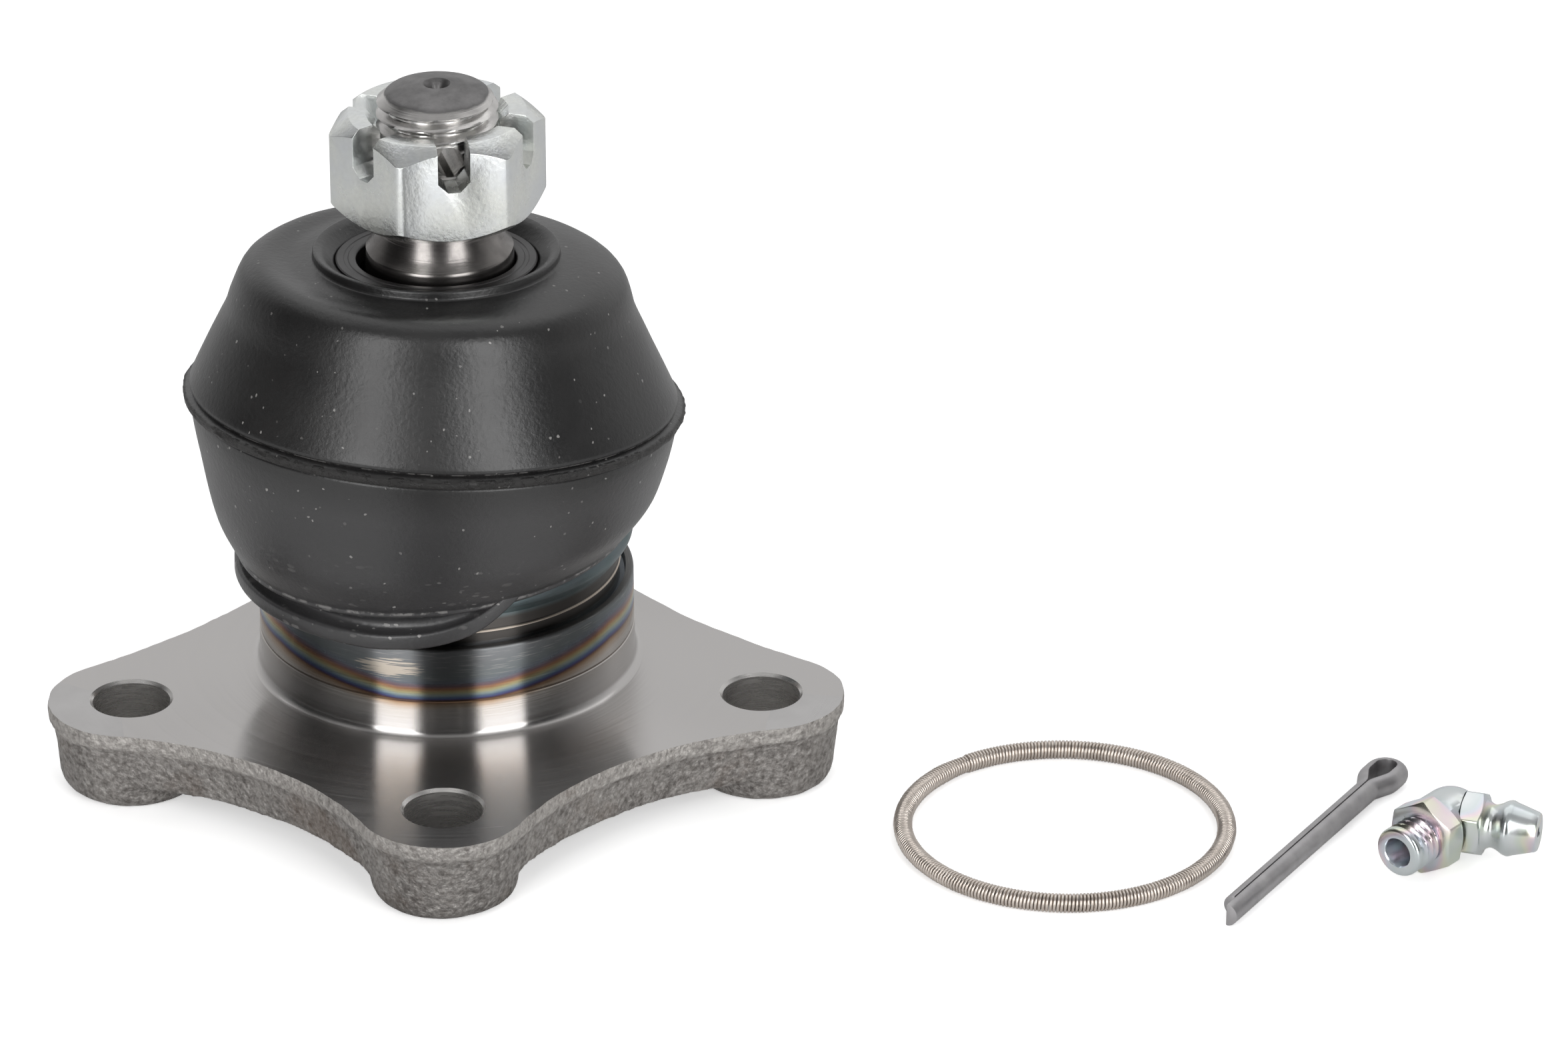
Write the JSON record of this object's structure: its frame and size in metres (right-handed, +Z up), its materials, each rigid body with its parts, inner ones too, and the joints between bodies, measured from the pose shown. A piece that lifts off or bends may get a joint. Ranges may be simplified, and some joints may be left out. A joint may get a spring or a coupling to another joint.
{
  "type": "suspension ball joint",
  "caption": "Flanged suspension ball joint: tapered threaded stud swinging in a socket under a rubber boot, castle nut, loose boot spring, split pin and bent grease nipple.",
  "frame": {"origin": "joint axis at the machined top face of the flange, midway between the end holes", "axes": "+Z up the stud, -Y towards the front bolt hole, +X towards the right bolt hole and the loose parts"},
  "size_m": [0.1717, 0.0995, 0.0827],
  "materials": {
    "forged_steel": "forged sides, turned top and collar",
    "turned_steel": "bright turned",
    "zinc_plate": "pale zinc plate",
    "boot_rubber": "moulded, soft sheen",
    "ring_black": "black coated steel",
    "bearing_resin": "moulded resin",
    "spring_steel": "drawn wire",
    "cover_steel": "pressed steel",
    "pin_steel": "drawn half-round wire",
    "hard_steel": "ground ball"
  },
  "bodies": {
    "housing": {"housing": "forged_steel", "upper_bearing_seat": "bearing_resin", "lower_bearing_seat": "bearing_resin", "preload_spring": "spring_steel", "end_cover": "cover_steel"},
    "boot": {"dust_boot": "boot_rubber"},
    "boot_ring": {"boot_top_ring": "ring_black"},
    "stud": {"ball_stud": "turned_steel"},
    "nut": {"castle_nut": "zinc_plate"},
    "garter": {"garter_spring": "spring_steel"},
    "pin": {"split_pin": "pin_steel"},
    "nipple": {"nipple_elbow": "zinc_plate", "nipple_head": "zinc_plate", "nipple_check_spring": "spring_steel"},
    "check_ball": {"nipple_check_ball": "hard_steel"}
  },
  "joints": [
    {"name": "swing_front_back", "type": "hinge", "parent": "housing", "child": "boot", "pos_m": [0, 0, 0.007], "axis": [1, 0, 0], "range_deg": [-20, 20], "deforming": ["dust_boot"]},
    {"name": "swing_side", "type": "hinge", "parent": "boot", "child": "boot_ring", "pos_m": [0, 0, 0.007], "axis": [0, 1, 0], "range_deg": [-20, 20]},
    {"name": "stud_spin", "type": "hinge", "parent": "boot_ring", "child": "stud", "pos_m": [0, 0, 0.007], "axis": [0, 0, 1], "continuous": true},
    {"name": "nut_unscrew", "type": "slide", "parent": "stud", "child": "nut", "axis": [0, 0, 1], "range_m": [0, 0.0165]},
    {"name": "garter_lift", "type": "slide", "parent": "housing", "child": "garter", "axis": [0, 0, 1], "range_m": [0, 0.05]},
    {"name": "pin_lift", "type": "slide", "parent": "housing", "child": "pin", "axis": [0, 0, 1], "range_m": [0, 0.05]},
    {"name": "nipple_lift", "type": "slide", "parent": "housing", "child": "nipple", "axis": [0, 0, 1], "range_m": [0, 0.05]},
    {"name": "check_ball_press", "type": "slide", "parent": "nipple", "child": "check_ball", "axis": [-0.9483, 0.3173, 0], "range_m": [0, 0.0008], "stiffness_N_per_m": 20, "springref_m": -0.0005, "deforming": ["nipple_check_spring"]}
  ]
}
